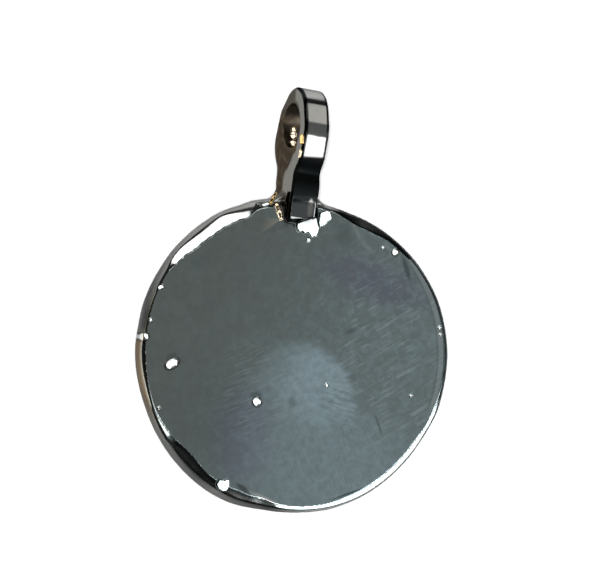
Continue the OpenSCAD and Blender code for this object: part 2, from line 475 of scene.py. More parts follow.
def solder_distance(x, y, z):
    """Ragged flats of solder, all leaning the same way."""
    lean = radians(SOLDER_LEAN)
    across, along = cos(radians(SOLDER_TOWARDS)), sin(radians(SOLDER_TOWARDS))
    shape = np.full(x.shape, np.inf)
    for outline, (low_x, low_y) in SOLDER:
        fall = (x - low_x) * across + (y - low_y) * along
        plane = fall * sin(lean) + (z - BACK_Z - 0.05) * cos(lean)
        bump = np.maximum(outline_distance(x, y, outline), BACK_Z - 0.3 - z)
        shape = np.minimum(shape, round_max(plane, bump, 0.03))
    return shape


def carve_pits(shape, x, y, z):
    """Dents with a leaning floor, steep on the side that it leans away from."""
    lean = np.array([
        sin(PIT_LEAN) * cos(PIT_TOWARDS),
        sin(PIT_LEAN) * sin(PIT_TOWARDS),
        cos(PIT_LEAN),
    ])
    for pit_x, pit_y, radius, oval in PITS:
        dx, dy, dz = x - pit_x, y - pit_y, z - BACK_Z
        turn = radians(PIT_TURN)
        across = dx * cos(turn) + dy * sin(turn)
        along = -dx * sin(turn) + dy * cos(turn)
        wall = np.hypot(across / oval, along) - radius
        floor = -(dx * lean[0] + dy * lean[1] + (dz + radius * sin(PIT_LEAN)) * lean[2])
        shape = smooth_max(shape, -smooth_max(wall, floor, 0.04), 0.05)
    return shape


def pendant_distance(points):
    x, y, z = points.T
    shape = np.minimum(rim_distance(x, y, z), ball_distance(x, y, z))
    shape = smooth_max(shape, -border_groove(x, y, z), GROOVE_MELT)
    shape = smooth_min(shape, web_distance(x, y, z), WEB_MELT)
    shape = smooth_min(shape, bail_distance(x, y, z), BAIL_MELT)
    shape = smooth_min(shape, bead_distance(x, y, z, CREAM_BEADS + GOLD_BEADS), BEAD_MELT)
    shape = smooth_min(shape, solder_distance(x, y, z), SOLDER_MELT)
    return carve_pits(shape, x, y, z)


def sample_near(low, high):
    """Distances on a grid. Far from the surface a coarse grid is enough, since only the sign counts."""
    coarse = 4
    blocks = np.ceil((high - low) / (STEP * coarse)).astype(int)
    shape = tuple(blocks * coarse)
    axes = [low[i] + STEP * np.arange(shape[i]) for i in range(3)]
    middles = [low[i] + STEP * (coarse * (np.arange(blocks[i]) + 0.5) - 0.5) for i in range(3)]
    points = np.stack(np.meshgrid(*middles, indexing="ij"), -1).reshape(-1, 3)
    rough = pendant_distance(points).reshape(blocks)
    field = rough.repeat(coarse, 0).repeat(coarse, 1).repeat(coarse, 2)
    close = np.abs(field) < 2.2 * coarse * STEP
    i, j, k = np.nonzero(close)
    field[close] = pendant_distance(np.stack([axes[0][i], axes[1][j], axes[2][k]], -1))
    return field


def surface_net(field, low):
    """Points and quads of the surface where the field is zero: one point in each cell that it crosses."""
    inside = field < 0
    cells = tuple(n - 1 for n in field.shape)
    window = [tuple(slice(o, o + n) for o, n in zip(offset, cells)) for offset in np.ndindex(2, 2, 2)]
    count = sum(inside[w].astype(np.int8) for w in window)
    mixed = (count > 0) & (count < 8)
    number = np.full(cells, -1)
    number[mixed] = np.arange(mixed.sum())
    base = np.stack(np.nonzero(mixed), -1)
    total = np.zeros((len(base), 3))
    crossings = np.zeros(len(base))
    for axis in range(3):
        step = np.eye(3, dtype=int)[axis]
        for offset in np.ndindex(2, 2, 2):
            if offset[axis]:
                continue
            a, b = base + offset, base + offset + step
            start, end = field[tuple(a.T)], field[tuple(b.T)]
            crossed = (start < 0) != (end < 0)
            share = np.where(crossed, start / np.where(crossed, start - end, 1), 0)
            total += np.where(crossed[:, None], a + share[:, None] * step, 0)
            crossings += crossed
    points = low + STEP * total / crossings[:, None]
    quads = []
    for axis in range(3):
        u, v = (axis + 1) % 3, (axis + 2) % 3
        ahead = np.moveaxis(inside, axis, 0)
        changed = np.zeros(field.shape, bool)
        np.moveaxis(changed, axis, 0)[:-1] = ahead[:-1] != ahead[1:]
        edge = np.stack(np.nonzero(changed), -1)
        edge = edge[(edge[:, u] > 0) & (edge[:, v] > 0)]
        edge = edge[(edge[:, u] < cells[u]) & (edge[:, v] < cells[v])]
        back_u, back_v = np.eye(3, dtype=int)[u], np.eye(3, dtype=int)[v]
        ring = [edge, edge - back_u, edge - back_u - back_v, edge - back_v]
        quad = np.stack([number[tuple(c.T)] for c in ring], -1)
        leaving = inside[tuple(edge.T)]
        quad[~leaving] = quad[~leaving][:, ::-1]
        quads.append(quad)
    return points, np.concatenate(quads)


def slope_of(points, reach):
    """The direction in which the distance grows, by central differences."""
    slope = np.empty_like(points)
    for axis in range(3):
        shift = np.zeros(3)
        shift[axis] = reach
        ahead, behind = pendant_distance(points + shift), pendant_distance(points - shift)
        slope[:, axis] = (ahead - behind) / (2 * reach)
    return slope


def settle(points):
    """Moves points onto the surface, never further than a grid step at a time."""
    for _ in range(SETTLE_ROUNDS):
        slope = slope_of(points, SLOPE_REACH)
        move = pendant_distance(points)[:, None] * slope / np.maximum((slope**2).sum(1), 0.05)[:, None]
        length = np.linalg.norm(move, axis=1)[:, None]
        points = points - move * np.minimum(1, STEP / np.maximum(length, 1e-9))
    return points


def mesh_points(mesh):
    flat = np.empty(len(mesh.vertices) * 3, np.float32)
    mesh.vertices.foreach_get("co", flat)
    return flat.reshape(-1, 3).astype(float) / MM


def merge_points(mesh):
    """Merges points that have met, which drops the triangles of no area between them."""
    body = bmesh.new()
    body.from_mesh(mesh)
    bmesh.ops.remove_doubles(body, verts=body.verts, dist=MERGE * MM)
    bmesh.ops.dissolve_degenerate(body, edges=body.edges, dist=MERGE * MM)
    bmesh.ops.triangulate(body, faces=body.faces)
    body.to_mesh(mesh)
    body.free()


def plate_points(points):
    """The points that may be thinned out: not the bail's or the facets', which mirror bright light."""
    x, y, z = points.T
    _, _, facet_r = rim_profile(np.arctan2(y, x))
    worn = (np.hypot(x, y) > facet_r - 0.05) & (z > BACK_Z - 0.45)
    return np.nonzero(((y < FOOT_Y) | (np.abs(x) > 1.9)) & ~worn)[0]


def thin_out(piece, points):
    """Takes points off the plate, so that the mesh has about KEEP_TRIANGLES."""
    mesh = piece.data
    plate = piece.vertex_groups.new(name="plate")
    plate.add(plate_points(points).tolist(), 1, "REPLACE")
    thin = piece.modifiers.new("thin", "DECIMATE")
    thin.vertex_group = "plate"
    thin.ratio = min(1, KEEP_TRIANGLES / (2 * len(mesh.polygons)))
    thin.use_collapse_triangulate = True
    depsgraph = bpy.context.evaluated_depsgraph_get()
    thinned = bpy.data.meshes.new_from_object(piece.evaluated_get(depsgraph))
    piece.modifiers.clear()
    piece.data = thinned
    piece.vertex_groups.clear()
    bpy.data.meshes.remove(mesh)


def make_pendant():
    points, quads = surface_net(sample_near(GRID_LOW, GRID_HIGH), GRID_LOW)
    points = settle(points)
    mesh = bpy.data.meshes.new("pendant_metal")
    mesh.from_pydata((points * MM).tolist(), [], quads.tolist())
    piece = add("pendant_metal", mesh)
    thin_out(piece, points)
    mesh = piece.data
    points = settle(mesh_points(mesh))
    mesh.vertices.foreach_set("co", (points * MM).astype(np.float32).ravel())
    merge_points(mesh)
    mesh.shade_smooth()
    normals = slope_of(mesh_points(mesh), SHADING_REACH)
    normals /= np.linalg.norm(normals, axis=1)[:, None]
    mesh.normals_split_custom_set_from_vertices(normals.tolist())
    return piece


# Camera, in the photograph's frame of 600 by 587 pixels: a pixel's size where it aims, its distance
# from there, and how far it stands to the left and is rolled
FRAME_W = 600
PX = 0.05157
CAMERA_AWAY = 320
CAMERA_LEFT = radians(15)
CAMERA_ROLL = radians(3.4)
AIM = Vector((0.2, 3.19, BACK_Z))
SENSOR = 36


def make_camera():
    data = bpy.data.cameras.new("camera")
    camera = add("camera", data)
    data.sensor_width = SENSOR
    data.lens = SENSOR * CAMERA_AWAY / (FRAME_W * PX)
    away = Vector((-sin(CAMERA_LEFT), 0, cos(CAMERA_LEFT)))
    right = Vector((0, 1, 0)).cross(away).normalized()
    up = away.cross(right)
    turn = Matrix.Rotation(CAMERA_ROLL, 3, away)
    axes = Matrix((turn @ right, turn @ up, away)).transposed()
    place = (AIM + away * CAMERA_AWAY) * MM
    camera.matrix_world = Matrix.Translation(place) @ axes.to_4x4()
    data.clip_start, data.clip_end = 0.01, 10
    bpy.context.scene.camera = camera


class Graph:
    """Short calls for building a material's nodes."""

    def __init__(self, tree):
        self.tree = tree

    def node(self, kind, **settings):
        node = self.tree.nodes.new("ShaderNode" + kind)
        for name, value in settings.items():
            setattr(node, name, value)
        return node

    def put(self, socket, value):
        if isinstance(value, bpy.types.NodeSocket):
            self.tree.links.new(value, socket)
        else:
            socket.default_value = value

    def result(self, output, kind, *inputs, **settings):
        """An output of a new node, with its first inputs put in."""
        node = self.node(kind, **settings)
        for socket, value in zip(node.inputs, inputs):
            self.put(socket, value)
        return node.outputs[output]

    def math(self, operation, a, b=0.0):
        return self.result(0, "Math", a, b, operation=operation)

    def times(self, *values):
        return reduce(partial(self.math, "MULTIPLY"), values)

    def plus(self, *values):
        return reduce(partial(self.math, "ADD"), values)

    def most(self, *values):
        return reduce(partial(self.math, "MAXIMUM"), values)

    def rise(self, value, low, high):
        """0 below low and 1 above high, eased between; the other way round where low is above high."""
        return self.result("Result", "MapRange", value, low, high, interpolation_type="SMOOTHSTEP")

    def band(self, value, start, full, fading, end):
        """1 from full to fading, and 0 before start and after end."""
        return self.times(self.rise(value, start, full), self.rise(value, end, fading))

    def vector(self, operation, *inputs, output="Vector"):
        return self.result(output, "VectorMath", *inputs, operation=operation)

    def length(self, vector):
        return self.vector("LENGTH", vector, output="Value")

    def dot(self, vector, direction):
        return self.vector("DOT_PRODUCT", vector, direction, output="Value")

    def split(self, vector):
        node = self.node("SeparateXYZ")
        self.put(node.inputs[0], vector)
        return node.outputs

    def mapped(self, vector, middle, turn, stretch):
        """The vector from a middle, turned back by an angle in degrees and divided by stretch."""
        inputs = (vector, (*middle, 0), (0, 0, radians(turn)), (*stretch, 1))
        return self.result("Vector", "Mapping", *inputs, vector_type="TEXTURE")

    def noise(self, vector, scale=1.0, detail=2.0, distortion=0.0, output="Fac"):
        node = self.node("TexNoise")
        numbers = {"Vector": vector, "Scale": scale, "Detail": detail, "Distortion": distortion}
        for name, value in numbers.items():
            self.put(node.inputs[name], value)
        return node.outputs[output]

    def streaks(self, vector, turn, length, width, low, high):
        """Scratches along a direction: noise drawn out along it, and only its peaks kept."""
        drawn = self.mapped(vector, (0, 0), turn, (length, width))
        return self.rise(self.noise(drawn), low, high)

    def patch(self, vector, middle, radii, turn, soft):
        """1 inside an ellipse, fading out to 0 over a share of its size."""
        return self.rise(self.length(self.mapped(vector, middle, turn, radii)), 1 + soft, 1 - soft)

    def streaked_zone(self, vector, streaks, zone, share):
        return self.times(self.streaks(vector, *streaks), self.patch(vector, *zone), share)

    def mix(self, factor, a, b):
        node = self.node("Mix", data_type="RGBA")
        self.put(node.inputs["Factor"], factor)
        colors = [i for i in node.inputs if i.type == "RGBA"]
        for socket, color in zip(colors, (a, b)):
            self.put(socket, color if isinstance(color, bpy.types.NodeSocket) else (*color, 1))
        return [o for o in node.outputs if o.type == "RGBA"][0]

    def lay(self, color, over, *shares):
        """The colour with another laid over it, as strong as the shares multiplied together."""
        return self.mix(self.times(*shares), color, over)

    def mark(self, name):
        return self.result("Fac", "Attribute", attribute_name=name)

    def bump(self, height, distance):
        node = self.node("Bump")
        self.put(node.inputs["Height"], height)
        node.inputs["Distance"].default_value = distance
        return node


GREY_LEFT = (0.295, 0.318, 0.305)
GREY_RIGHT = (0.39, 0.46, 0.47)
HAZE_SHEEN = (0.66, 0.85, 0.95)
SCRATCH_GLINT = (0.7, 0.82, 0.84)
PURPLE = (0.29, 0.295, 0.38)
TEAL = (0.37, 0.46, 0.45)
SMUDGE_AND_SHADE = (0.16, 0.19, 0.19)
BROWN_REFLECTION = (0.07, 0.057, 0.044)
RED_BROWN_REFLECTION = (0.14, 0.108, 0.072)
STRIP_REFLECTION = (0.268, 0.263, 0.242)
# Cream and gold bead colours: painted glints, cream and warm
CREAM_GLINT = (0.95, 0.8, 0.6)
GOLD_GLINT = (0.5, 0.36, 0.18)
TAN_REFLECTION = (0.26, 0.19, 0.12)
# Dark patina in the ball's seams and dark panels; elsewhere this near-black is painted shade
PATINA_AND_SHADE = (0.016, 0.018, 0.019)
BLACK = (0.005, 0.006, 0.006)
FOOT = (0.15, 0.16, 0.16)
BAIL = (0.26, 0.258, 0.248)
CAP_REFLECTION = (0.38, 0.38, 0.365)
OLIVE = (0.11, 0.102, 0.088)
WALL = (0.36, 0.355, 0.34)
PIT_GLINT = (0.8, 0.8, 0.78)
PALE = (0.9, 0.9, 0.87)
EDGE_TINT = (0.4, 0.4, 0.4, 1)

# How far a zone's ragged edges are pushed about, and how far that shifts the zone
JITTER = (1.35, 0.6, 0)
JITTER_MIDDLE = (0.75, 0.25)

# How high the slow waves in the polish stand, and the fine grain
WAVE_H = 0.015 * MM
GRAIN_H = 0.002 * MM

# Zones seen from behind, each an ellipse: its middle, its radii, its turn in degrees and its softness
PURPLE_LEFT = ((-2.4, -4.3), (1.5, 2.4), 0, 0.5)
PURPLE_RIGHT = ((4.0, 4.1), (2.8, 1.0), -14, 0.6)
ARCH = ((0.6, -3.7), (3.2, 4.5), 8, 0.09)
BRIGHT_HAZE_SHEEN = ((1.9, -1.2), (2.6, 2.4), 30, 0.55)
LOWER_HAZE_SHEEN = ((1.9, -5.4), (4.4, 3.0), 0, 0.45)
RIGHT_ZONE = ((5.2, 0.2), (3.2, 4.8), 20, 0.5)
WARM_PATCH_ZONE = ((-1.35, 8.25), (0.35, 0.5), 20, 0.5)
BROWN_REFLECTION_ZONE = ((-0.86, 7.6), (0.2, 0.8), 8, 0.5)
FOOT_HIGHLIGHT = ((0.42, 7.55), (0.14, 0.42), 0, 0.5)

# Sets of streaks: their direction in degrees, their length and width, and the levels of noise that
# they start and are full at. The last three have their own zone and strength
LONG_STREAKS = (33, 3.0, 0.13, 0.5, 0.66)
SHORT_STREAKS = (24, 1.3, 0.11, 0.54, 0.72)
WIPED = ((-14, 1.0, 0.16, 0.46, 0.62), ((3.0, -2.6), (1.5, 1.3), -20, 0.5), 0.5)
FRINGE = ((24, 1.1, 0.09, 0.46, 0.68), ((-1.9, -2.2), (2.0, 2.6), 10, 0.5), 0.5)
STEEP = ((-66, 0.8, 0.09, 0.48, 0.7), ((3.0, -5.4), (4.0, 2.4), -20, 0.5), 0.4)

# Dark smudges and scratches on the back, and painted shadows just above the two largest pits:
# zones, each with its strength
SMUDGES_AND_SHADOWS = [
    ((3.05, 1.41), (0.28, 0.16), 20, 0.6, 0.5), ((0.12, -2.42), (0.22, 0.25), 0, 0.6, 0.4),
    ((4.83, -3.38), (0.55, 0.05), -66, 0.6, 0.6), ((-5.2, 4.5), (0.6, 0.35), 30, 0.8, 0.25),
    ((2.4, 6.3), (0.5, 0.6), 0, 0.8, 0.3), ((5.82, 4.8), (0.62, 0.12), -69, 0.5, 0.8),
    ((-2.2, -7.02), (0.42, 0.13), -33, 0.4, 0.95), ((3.4, -7.0), (0.85, 0.05), 22, 0.5, 0.9),
    ((-6.43, -0.42), (0.32, 0.15), 30, 0.4, 0.5), ((-1.82, -2.16), (0.3, 0.16), 10, 0.5, 0.6),
    ((-4.3, -3.4), (2.2, 2.6), 0, 0.7, 0.16),
]

# Pale smears on the back, in the same form; the long one near the bottom is a painted highlight along a
# crease
SMEARS_AND_HIGHLIGHTS = [
    ((3.05, 6.55), (0.5, 0.12), -58, 0.8, 0.22), ((3.7, 5.75), (0.42, 0.1), -38, 0.8, 0.22),
    ((4.75, 5.85), (0.24, 0.1), -40, 0.7, 0.25), ((-0.95, -7.5), (0.88, 0.11), -21, 0.6, 0.75),
]

# Each pit's painted shade ring and painted highlight floor: how far each reaches, in radii, and its
# strength
PIT_SHADE_AND_GLINT = [(PATINA_AND_SHADE, 1.4, 0.7), (PIT_GLINT, 1.0, 0.9)]
PIT_SOFTNESS = 0.15


def back_grey(graph, flat, fine, rightwards):
    """Grey polish with faint clouds in it, paler towards the right as a painted reflection."""
    cloud = graph.noise(flat, 0.8, 3)
    # Painted reflection: the grey turns paler and bluer towards the right
    color = graph.lay(GREY_LEFT, GREY_RIGHT, graph.rise(rightwards, -6, 6))
    color = graph.lay(color, TEAL, graph.rise(cloud, 0.42, 0.62), 0.18)
    return graph.lay(color, SMUDGE_AND_SHADE, graph.rise(fine, 0.6, 0.35), 0.14)


def with_ragged_edges(graph, flat):
    """The flat vector pushed about, more along the scratches than across them."""
    jitter = graph.noise(graph.mapped(flat, (0, 0), 16, (1.4, 0.34)), output="Color")
    return graph.mapped(graph.vector("MULTIPLY_ADD", jitter, JITTER, flat), JITTER_MIDDLE, 0, (1, 1))


def haze_and_sheen_strength(graph, flat, ragged, fine):
    """A hazy arch, brightest in its middle, and a zone below it, with streaks wiped out of them; their pale
    colour is a painted sheen.
    """
    arch, bright, lower = (graph.patch(ragged, *zone) for zone in (ARCH, BRIGHT_HAZE_SHEEN, LOWER_HAZE_SHEEN))
    mist = graph.plus(graph.times(arch, 0.17), graph.times(arch, bright, 0.48))
    mist = graph.times(graph.most(mist, graph.times(lower, 0.28)), graph.plus(0.45, fine))
    return graph.times(mist, graph.math("SUBTRACT", 1.0, graph.streaked_zone(flat, *WIPED)))


def scratch_strength(graph, flat):
    """Fine scratches: most on the right, a fringe left of the haze, and steep ones below it."""
    patchy = graph.rise(graph.noise(flat, 1.1, 3), 0.42, 0.6)
    across = graph.most(graph.streaks(flat, *LONG_STREAKS), graph.streaks(flat, *SHORT_STREAKS))
    right = graph.times(across, patchy, graph.patch(flat, *RIGHT_ZONE))
    return graph.most(right, graph.streaked_zone(flat, *FRINGE), graph.streaked_zone(flat, *STEEP))


def back_border_reflections(graph, flat, color):
    """Painted reflections along the back's right edge: a dark line of painted shade, a pale line of painted
    reflection and a dark lip of painted shade.
    """
    from_middle = graph.length(flat)
    towards_right = graph.dot(flat, (0.98, 0.2, 0))
    at_right = graph.rise(towards_right, 6.5, 7.1)
    color = graph.lay(color, SMUDGE_AND_SHADE, graph.band(from_middle, 7.7, 7.76, 7.83, 7.88), at_right, 0.25)
    color = graph.lay(color, PALE, graph.band(from_middle, 7.82, 7.88, 8.06, 8.12), at_right, 0.26)
    lip = graph.times(graph.rise(from_middle, 8.08, 8.12), graph.rise(towards_right, 7.3, 7.7))
    return graph.lay(color, PATINA_AND_SHADE, lip, 0.45)


def back_looks(graph, flat):
    """Colour and roughness of the polished back, and how strong the scratches on it are."""
    fine = graph.noise(flat, 2.6, 4)
    rightwards = graph.split(graph.mapped(flat, (0, 0), -25, (1, 1)))[0]
    color = back_grey(graph, flat, fine, rightwards)
    ragged = with_ragged_edges(graph, flat)
    purple = graph.most(graph.patch(ragged, *PURPLE_LEFT), graph.patch(ragged, *PURPLE_RIGHT))
    color = graph.lay(color, PURPLE, purple, 0.62)
    haze_and_sheen = haze_and_sheen_strength(graph, flat, ragged, fine)
    # Painted sheen: the hazy zones get a pale bluish colour as well as more roughness
    color = graph.lay(color, HAZE_SHEEN, haze_and_sheen)
    scratches = scratch_strength(graph, flat)
    # The scratches' pale colour is a painted glint, as if they caught light from the side
    color = graph.lay(color, SCRATCH_GLINT, scratches, 0.52)
    # Pale blotches, stronger to the right: painted sheen
    blotch = graph.rise(graph.noise(flat, 1.9, 5, 1.2), 0.46, 0.62)
    color = graph.lay(color, HAZE_SHEEN, blotch, graph.rise(rightwards, -7, 5), 0.18)
    color = back_border_reflections(graph, flat, color)
    for over, zones in ((SMUDGE_AND_SHADE, SMUDGES_AND_SHADOWS), (PALE, SMEARS_AND_HIGHLIGHTS)):
        for *zone, share in zones:
            color = graph.lay(color, over, graph.patch(flat, *zone), share)
    rough = graph.plus(0.1, graph.times(haze_and_sheen, 0.14), graph.times(scratches, 0.05))
    return color, rough, scratches


def rim_looks(graph, flat, z, color):
    """Painted warm reflection and painted shade on the rim's wall and facets, and the pits' painted shade
    and highlight.
    """
    # Painted warm reflection on the wall
    color = graph.lay(color, TAN_REFLECTION, graph.mark("tan"))
    off_flat = graph.rise(z, BACK_Z - 0.006, BACK_Z - 0.02)
    # Painted shade on the wall, the dark facets and the burr lines
    color = graph.lay(color, PATINA_AND_SHADE, graph.mark("dark"), off_flat)
    for pit_x, pit_y, radius, oval in PITS:
        for over, grow, share in PIT_SHADE_AND_GLINT:
            reach = (grow * radius * oval, grow * radius)
            spot = graph.patch(flat, (pit_x, pit_y), reach, PIT_TURN, PIT_SOFTNESS)
            color = graph.lay(color, over, spot, share)
    return color


def bail_looks(graph, vector, flat, y, z, warm_reflection, color):
    """A grey band whose paler cap is a painted reflection, with a painted warm reflection on its left side
    and in its eye, painted shade on its edges and round its foot, and beads coloured as painted glints.
    """
    # The paler cap is a painted reflection of the floor
    band_color = graph.lay(BAIL, CAP_REFLECTION, graph.rise(y, LOOP_Y + 1.5, LOOP_Y + 1.65))
    color = graph.lay(color, band_color, graph.mark("bail"))
    # Painted warm reflection on the left side and in the eye, olive higher up
    warm = graph.rise(graph.noise(vector, 2.4, 4, 0.6), 0.46, 0.7)
    brown_reflection_color = graph.lay(graph.lay(BROWN_REFLECTION, RED_BROWN_REFLECTION, warm), OLIVE, graph.rise(y, LOOP_Y + 0.4, LOOP_Y + 1.4))
    color = graph.lay(color, brown_reflection_color, warm_reflection)
    # The pale strip on the left side is a painted reflection
    color = graph.lay(color, STRIP_REFLECTION, graph.mark("strip"))
    # A warm patch and a brownish patch by the foot: painted reflections
    warm_patch = graph.times(graph.patch(flat, *WARM_PATCH_ZONE), graph.rise(z, 3.6, 3.5))
    color = graph.lay(color, RED_BROWN_REFLECTION, warm_patch, graph.rise(graph.noise(vector, 5), 0.4, 0.6))
    color = graph.lay(color, BROWN_REFLECTION, graph.patch(flat, *BROWN_REFLECTION_ZONE))
    # Painted shade: the crease round the foot, near black
    color = graph.lay(color, BLACK, graph.mark("foot"), 0.95)
    # Painted shade on the band's edges; the beads' cream and gold are painted glints
    for name, over in (("edge", PATINA_AND_SHADE), ("cream_bead", CREAM_GLINT), ("gold_bead", GOLD_GLINT)):
        color = graph.lay(color, over, graph.mark(name))
    return color


def neck_looks(graph, flat, y, neck, color):
    """The neck's rear face: black as painted shade, and grey at its foot with a pale streak that is a
    painted highlight.
    """
    neck_color = graph.lay(BLACK, FOOT, graph.rise(y, DISC_R - 0.25, DISC_R - 0.5))
    neck_color = graph.lay(neck_color, WALL, graph.patch(flat, *FOOT_HIGHLIGHT), 0.8)
    return graph.lay(color, neck_color, neck)


def metal_roughness(graph, cloud, warm_reflection, five, dull_neck):
    """Roughness away from the back: more where the warm reflection is painted and on the ball's dark
    panels, less on beads.
    """
    rough = graph.plus(0.16, graph.times(graph.rise(cloud, 0.3, 0.7), 0.12), graph.times(warm_reflection, 0.15),
                       graph.times(five, 0.3), graph.times(dull_neck, 0.25))
    bead = graph.most(graph.mark("cream_bead"), graph.mark("gold_bead"))
    return graph.times(rough, graph.rise(bead, 1.3, 0.2))


def metal_bump(graph, vector, scratches):
    """Slow waves in the polish, and over them fine grain and the scratches."""
    waves = graph.bump(graph.noise(vector, 0.5), WAVE_H)
    relief = graph.plus(graph.times(graph.noise(vector, 6, 3), 0.3), graph.times(scratches, 0.3))
    grain = graph.bump(relief, GRAIN_H)
    graph.put(grain.inputs["Normal"], waves.outputs["Normal"])
    return grain.outputs["Normal"]


def metal_material():
    """One metal all over: grey polish on the back with painted reflections, a painted warm reflection in
    the bail, dark patina in recesses and painted shade on edges.
    """
    material = bpy.data.materials.new("metal")
    material.use_nodes = True
    shader = material.node_tree.nodes["Principled BSDF"]
    graph = Graph(material.node_tree)
    vector = graph.vector("MULTIPLY", graph.result("Object", "TexCoord"), (1 / MM,) * 3)
    x, y, z = graph.split(vector)
    flat = graph.result(0, "CombineXYZ", x, y)

    back_color, back_rough, scratches = back_looks(graph, flat)
    on_back = graph.rise(z, BACK_Z - 0.16, BACK_Z - 0.05)
    cloud = graph.noise(vector, 0.9, 4)
    warm_reflection = graph.most(graph.mark("side"), graph.mark("inside"))
    neck = graph.times(graph.mark("face"), graph.rise(y, LOOP_Y - 1.35, LOOP_Y - 1.55))
    dull_neck = graph.times(neck, graph.rise(y, DISC_R - 0.2, DISC_R + 0.1))
    five = graph.mark("five")

    wall_color = graph.lay(WALL, GREY_LEFT, graph.rise(cloud, 0.35, 0.65), 0.5)
    color = rim_looks(graph, flat, z, graph.lay(wall_color, back_color, on_back))
    color = bail_looks(graph, vector, flat, y, z, warm_reflection, color)
    color = neck_looks(graph, flat, y, neck, color)
    color = graph.lay(color, PATINA_AND_SHADE, graph.most(graph.times(five, 0.8), graph.mark("seam")), 0.85)
    graph.put(shader.inputs["Base Color"], color)

    rough = graph.node("Mix", data_type="FLOAT")
    graph.put(rough.inputs["Factor"], graph.times(on_back, graph.rise(dull_neck, 0.6, 0.4)))
    graph.put(rough.inputs["A"], metal_roughness(graph, cloud, warm_reflection, five, dull_neck))
    graph.put(rough.inputs["B"], back_rough)
    graph.put(shader.inputs["Roughness"], rough.outputs["Result"])
    graph.put(shader.inputs["Normal"], metal_bump(graph, vector, scratches))
    shader.inputs["Metallic"].default_value = 1
    shader.inputs["Specular Tint"].default_value = EDGE_TINT
    return material


FLOOR_HALF = 2.0
FLOOR_COLOR = (0.9, 0.9, 0.9, 1)


def floor_material():
    material = bpy.data.materials.new("floor_pale")
    material.use_nodes = True
    shader = material.node_tree.nodes["Principled BSDF"]
    shader.inputs["Base Color"].default_value = FLOOR_COLOR
    shader.inputs["Roughness"].default_value = 0.9
    return material


def make_floor():
    mesh = bpy.data.meshes.new("floor")
    corners = [(sx * FLOOR_HALF, sy * FLOOR_HALF, 0) for sx, sy in ((-1, -1), (1, -1), (1, 1), (-1, 1))]
    mesh.from_pydata(corners, [], [(0, 1, 2, 3)])
    floor = add("floor", mesh)
    mesh.materials.append(floor_material())


def towards(around, from_zenith):
    """Direction at an angle round from +X and an angle down from straight up, in degrees."""
    a, e = radians(around), radians(from_zenith)
    return Vector((sin(e) * cos(a), sin(e) * sin(a), cos(e)))


# Light cards: name, direction as in towards(), width and height in degrees, brightness and tint
CARD_AWAY = 500
WHITE = (1, 1, 1)
CARDS = [
    ("top_left_card", 105, 37.5, 34, 13, 5, WHITE),
    ("low_right_card", -45, 48.5, 54, 25, 5, WHITE),
    ("crease_card", 285, 29, 22, 10, 5, WHITE),
    ("line_card", 227, 25, 16, 16, 5, WHITE),
    ("left_card", 180, 77, 50, 9, 3, (1.0, 0.88, 0.68)),
]

# The floor's light: its direction, how far it spreads to each side, and its strength
FLOOR_LIGHT = (180, 15)
FLOOR_LIGHT_REACH = radians(2.5)
FLOOR_LIGHT_STRENGTH = 3.4

# The sky, and a strip of light that the bail's rear mirrors: where it is, and square to its length
SKY_TOP = (0.29, 0.31, 0.31)
SKY_LOW = (0.04, 0.045, 0.045)
HORIZON = (0.8, 0.8, 0.8)
STRIP_LIGHT = (1.5, 1.5, 1.43)
GREY_STRIP = (59, 52)
GREY_STRIP_SIDE = (-0.901, 0.263, 0.343)


def make_card(name, around, from_zenith, wide, high, radiance, tint):
    data = bpy.data.lights.new(name, "AREA")
    data.shape = "RECTANGLE"
    data.size = 2 * CARD_AWAY * MM * tan(radians(wide / 2))
    data.size_y = 2 * CARD_AWAY * MM * tan(radians(high / 2))
    data.energy = radiance * pi * data.size * data.size_y
    data.color = tint
    card = add(name, data)
    away = towards(around, from_zenith)
    side = Vector((-sin(radians(around)), cos(radians(around)), 0))
    axes = Matrix((side, away.cross(side), away)).transposed()
    card.matrix_world = Matrix.Translation(away * CARD_AWAY * MM) @ axes.to_4x4()
    card.visible_camera = False
    card.visible_diffuse = False


def make_floor_light():
    """A soft sun behind the camera, for the floor alone: the metal is lit by the cards and the sky."""
    data = bpy.data.lights.new("floor_light", "SUN")
    data.angle = 2 * FLOOR_LIGHT_REACH
    data.energy = FLOOR_LIGHT_STRENGTH
    light = add("floor_light", data)
    light.matrix_world = towards(*FLOOR_LIGHT).to_track_quat("Z", "Y").to_matrix().to_4x4()
    light.visible_camera = False
    light.visible_glossy = False


def make_world():
    """Dim grey overhead, darker lower down, and pale at the horizon."""
    world = bpy.data.worlds.new("studio")
    bpy.context.scene.world = world
    world.use_nodes = True
    graph = Graph(world.node_tree)
    direction = graph.result("Generated", "TexCoord")
    up = graph.split(direction)[2]
    color = graph.lay(SKY_LOW, SKY_TOP, graph.rise(up, 0.6, 0.88))
    aside = graph.math("ABSOLUTE", graph.dot(direction, GREY_STRIP_SIDE))
    along = graph.rise(graph.dot(direction, towards(*GREY_STRIP)), 0.5, 0.6)
    color = graph.lay(color, STRIP_LIGHT, graph.rise(aside, 0.14, 0.1), along,
                      graph.band(up, 0.43, 0.45, 0.76, 0.82))
    color = graph.lay(color, HORIZON, graph.rise(up, 0.14, 0.06))
    graph.put(world.node_tree.nodes["Background"].inputs["Color"], color)


def wall_shade_at(column, angle):
    """A column of DARK_ROWS at an angle round the rim."""
    angles = [row[DARK_ANGLE] for row in DARK_ROWS]
    values = [row[column] for row in DARK_ROWS]
    return np.interp(np.degrees(angle) % 360, angles, values, period=360)


def within(value, start, full, fading, end):
    """1 from full to fading, and 0 before start and after end."""
    return ease(value, start, full) * ease(value, end, fading)


